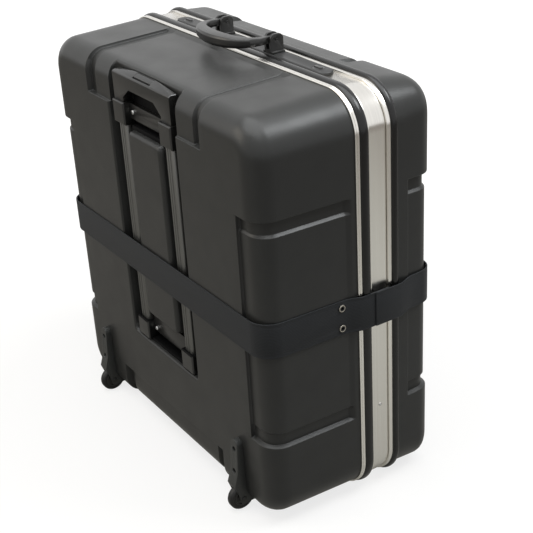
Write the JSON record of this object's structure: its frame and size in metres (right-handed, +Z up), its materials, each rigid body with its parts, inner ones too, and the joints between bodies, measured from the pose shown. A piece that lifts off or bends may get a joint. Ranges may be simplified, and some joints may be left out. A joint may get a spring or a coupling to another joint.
{
  "type": "bike travel case",
  "caption": "Hard two-shell travel case for a folding bicycle, with aluminium frames, hinged lid, telescopic trolley grip, wheels, turn locks, carry handle and strap.",
  "frame": {"origin": "middle of the case's box on the floor it stands on", "axes": "+Z up, +X to the right of the trolley side, the trolley side faces -Y, the lid faces +Y"},
  "size_m": [0.6702, 0.3467, 0.7122],
  "materials": {
    "shell_plastic": "fine leather grain",
    "bumper_plastic": "smooth black, slightly glossy",
    "frame_metal": "drawn and brushed lengthwise",
    "webbing": "flat woven webbing",
    "fitting_plastic": "fine spark-eroded grain",
    "button_plastic": "smooth",
    "tube_metal": "dark anodised, satin",
    "tyre_rubber": "hard, smooth",
    "lock_metal": "black, satin",
    "steel": "plated",
    "dark_steel": "blackened"
  },
  "bodies": {
    "base": {"base_shell": "shell_plastic", "base_frame": "frame_metal", "base_bumper": "bumper_plastic", "frame_joint_rivet": "steel", "lock_plate": "fitting_plastic", "handle_posts": "fitting_plastic", "handle_pins": "steel", "outer_tubes": "tube_metal", "top_bracket": "fitting_plastic", "bottom_bracket": "fitting_plastic", "bracket_screws": "steel", "wheel_fork_left": "fitting_plastic", "wheel_fork_right": "fitting_plastic", "axle_left": "steel", "axle_right": "steel", "fork_screws": "dark_steel", "hinge_base_leaves": "steel", "hinge_pins": "steel", "strap_base": "webbing", "strap_rivets": "steel"},
    "lid": {"lid_shell": "shell_plastic", "lid_frame": "frame_metal", "lid_bumper": "bumper_plastic", "hinge_lid_leaves": "steel", "lock_strikes": "steel", "strap_lid": "webbing"},
    "trolley": {"inner_tubes": "tube_metal", "trolley_grip": "fitting_plastic"},
    "release": {"grip_button": "button_plastic", "release_rods": "steel"},
    "wheel_left": {"wheel_hub_left": "fitting_plastic", "tyre_left": "tyre_rubber"},
    "wheel_right": {"wheel_hub_right": "fitting_plastic", "tyre_right": "tyre_rubber"},
    "carry_handle": {"handle_bow": "fitting_plastic"},
    "lock_left": {"lock_disc_left": "lock_metal", "lock_hook_left": "steel"},
    "lock_right": {"lock_disc_right": "lock_metal", "lock_hook_right": "steel"}
  },
  "joints": [
    {"name": "lid_hinge", "type": "hinge", "parent": "base", "child": "lid", "pos_m": [0, 0.07785, 0.0036], "axis": [-1, 0, 0], "range_deg": [0, 105]},
    {"name": "trolley_slide", "type": "slide", "parent": "base", "child": "trolley", "axis": [0, 0, 1], "range_m": [0, 0.34]},
    {"name": "release_press", "type": "slide", "parent": "trolley", "child": "release", "axis": [0, 0, -1], "range_m": [0, 0.004], "stiffness_N_per_m": 1500, "springref_m": -0.004},
    {"name": "wheel_left_spin", "type": "hinge", "parent": "base", "child": "wheel_left", "pos_m": [-0.227, -0.15035, 0.023], "axis": [1, 0, 0], "continuous": true},
    {"name": "wheel_right_spin", "type": "hinge", "parent": "base", "child": "wheel_right", "pos_m": [0.227, -0.15035, 0.023], "axis": [1, 0, 0], "continuous": true},
    {"name": "carry_handle_swing", "type": "hinge", "parent": "base", "child": "carry_handle", "pos_m": [0, 0.06175, 0.7032], "axis": [-1, 0, 0], "range_deg": [0, 110]},
    {"name": "lock_left_turn", "type": "hinge", "parent": "base", "child": "lock_left", "pos_m": [-0.188, 0.06175, 0.678], "axis": [0, 0, -1], "range_deg": [0, 90]},
    {"name": "lock_right_turn", "type": "hinge", "parent": "base", "child": "lock_right", "pos_m": [0.188, 0.06175, 0.678], "axis": [0, 0, -1], "range_deg": [0, 90]}
  ]
}
